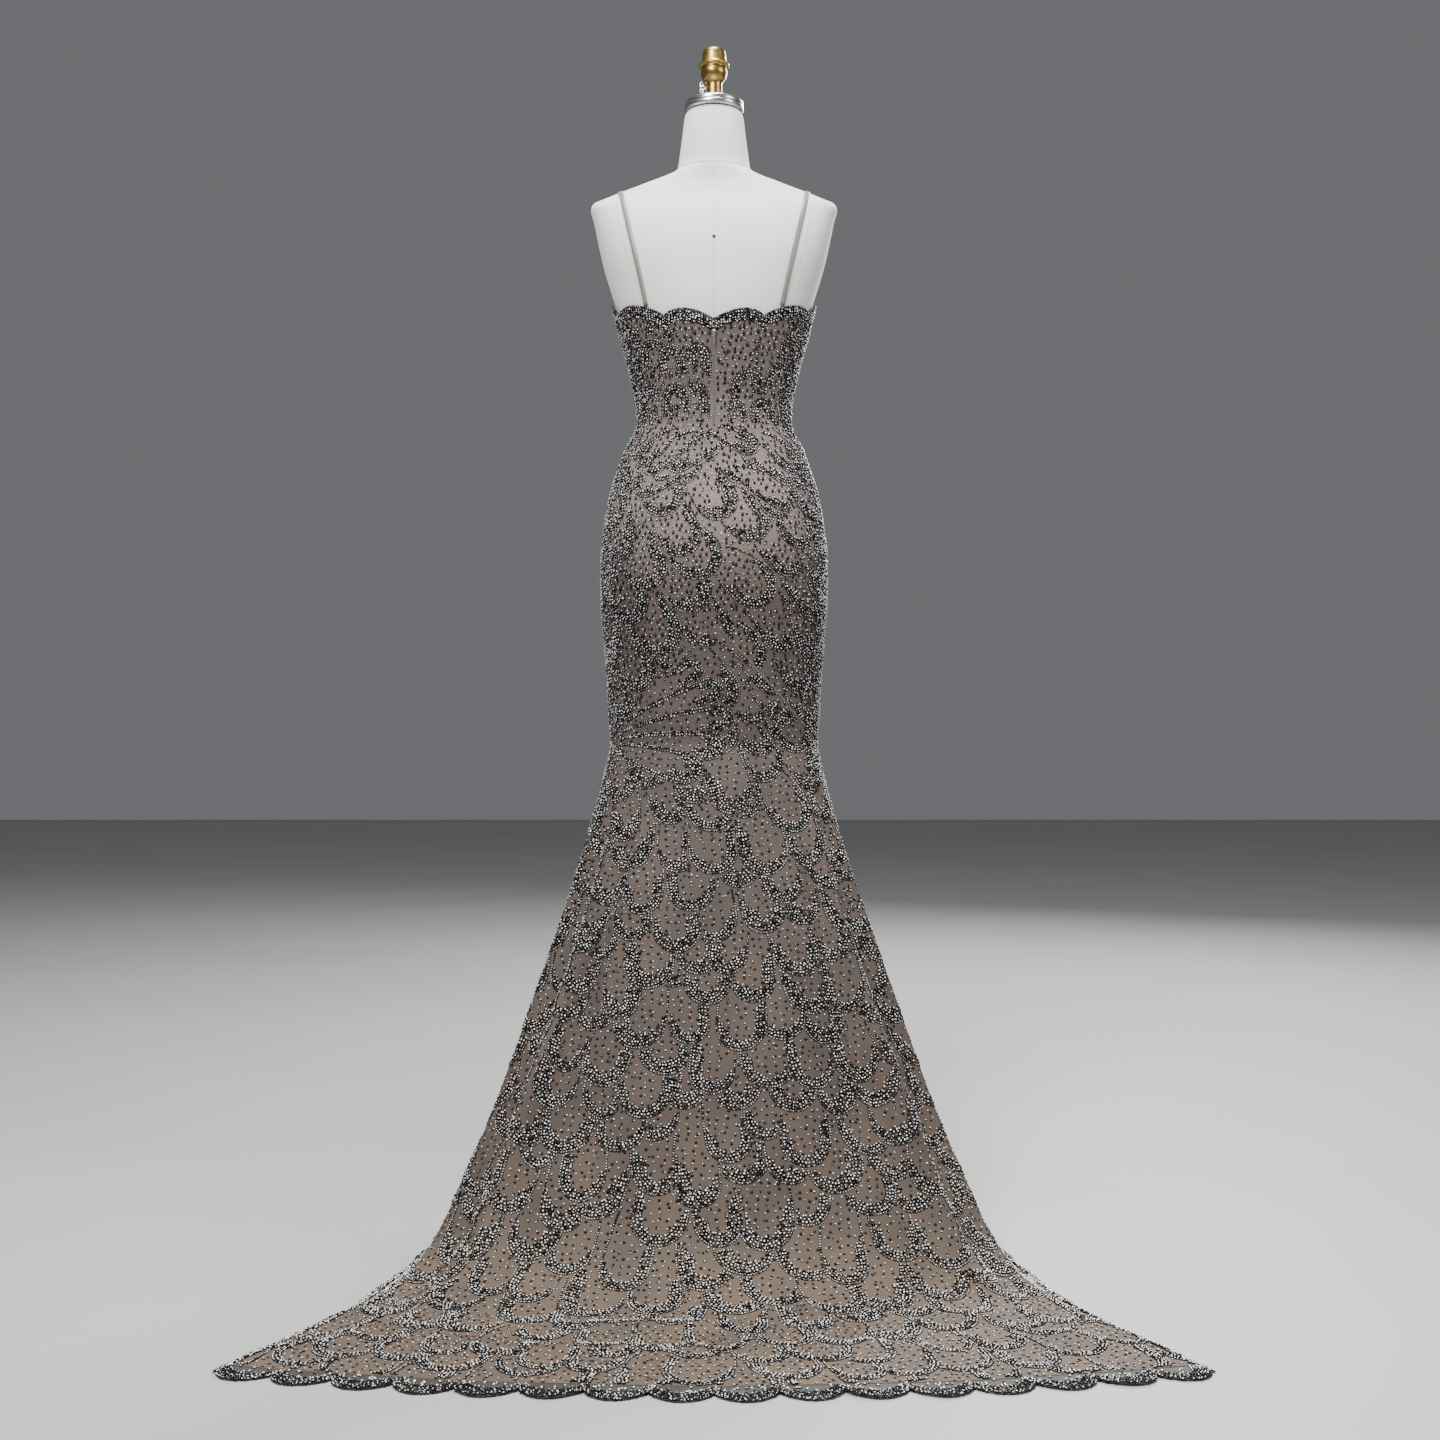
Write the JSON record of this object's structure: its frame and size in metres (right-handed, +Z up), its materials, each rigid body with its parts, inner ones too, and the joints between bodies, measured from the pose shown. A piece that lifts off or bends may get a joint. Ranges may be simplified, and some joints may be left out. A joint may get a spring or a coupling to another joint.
{
  "type": "evening gown on a dress form",
  "caption": "Beaded trumpet evening gown with thin straps, a thigh slit and a floor train, worn by a limbless dress form on a pole and round base.",
  "frame": {"origin": "on the floor, at the centre of the base's flat underside, on the pole's axis", "axes": "+Z up; the wearer faces -Y and the train lies along +Y; +X is the wearer's left"},
  "size_m": [1.1238, 1.1573, 1.766],
  "materials": {
    "beaded_net": "taupe net and lining, covered with silver and dark beads",
    "sheer_net": "sheer grey net with beads, scalloped edge",
    "satin": "smooth taupe satin",
    "form_cover": "white stretched cover",
    "plated_steel": "plated, satin",
    "painted_iron": "black paint",
    "brass": "turned and polished",
    "bright_metal": "bright"
  },
  "bodies": {
    "gown_and_form": {"bodice_back_left": "beaded_net", "bodice_back_right": "beaded_net", "bodice_front": "beaded_net", "hip_back_left": "beaded_net", "hip_back_right": "beaded_net", "hip_front": "beaded_net", "skirt_front": "beaded_net", "skirt_side_left": "beaded_net", "skirt_train": "beaded_net", "hem_band_front": "sheer_net", "hem_band_side_left": "sheer_net", "hem_band_train": "sheer_net", "slit_lining": "satin", "strap_left": "satin", "strap_right": "satin", "zip_slider": "bright_metal", "form_torso": "form_cover", "neck_plate": "plated_steel", "finial": "brass", "thumb_screw": "bright_metal", "pole": "plated_steel", "base": "painted_iron"},
    "zip_pull": {"zip_pull": "bright_metal"}
  },
  "joints": [
    {"name": "zip_pull_hinge", "type": "hinge", "parent": "gown_and_form", "child": "zip_pull", "pos_m": [0, 0.10571, 1.3125], "axis": [1, 0, 0], "range_deg": [0, 150]}
  ]
}
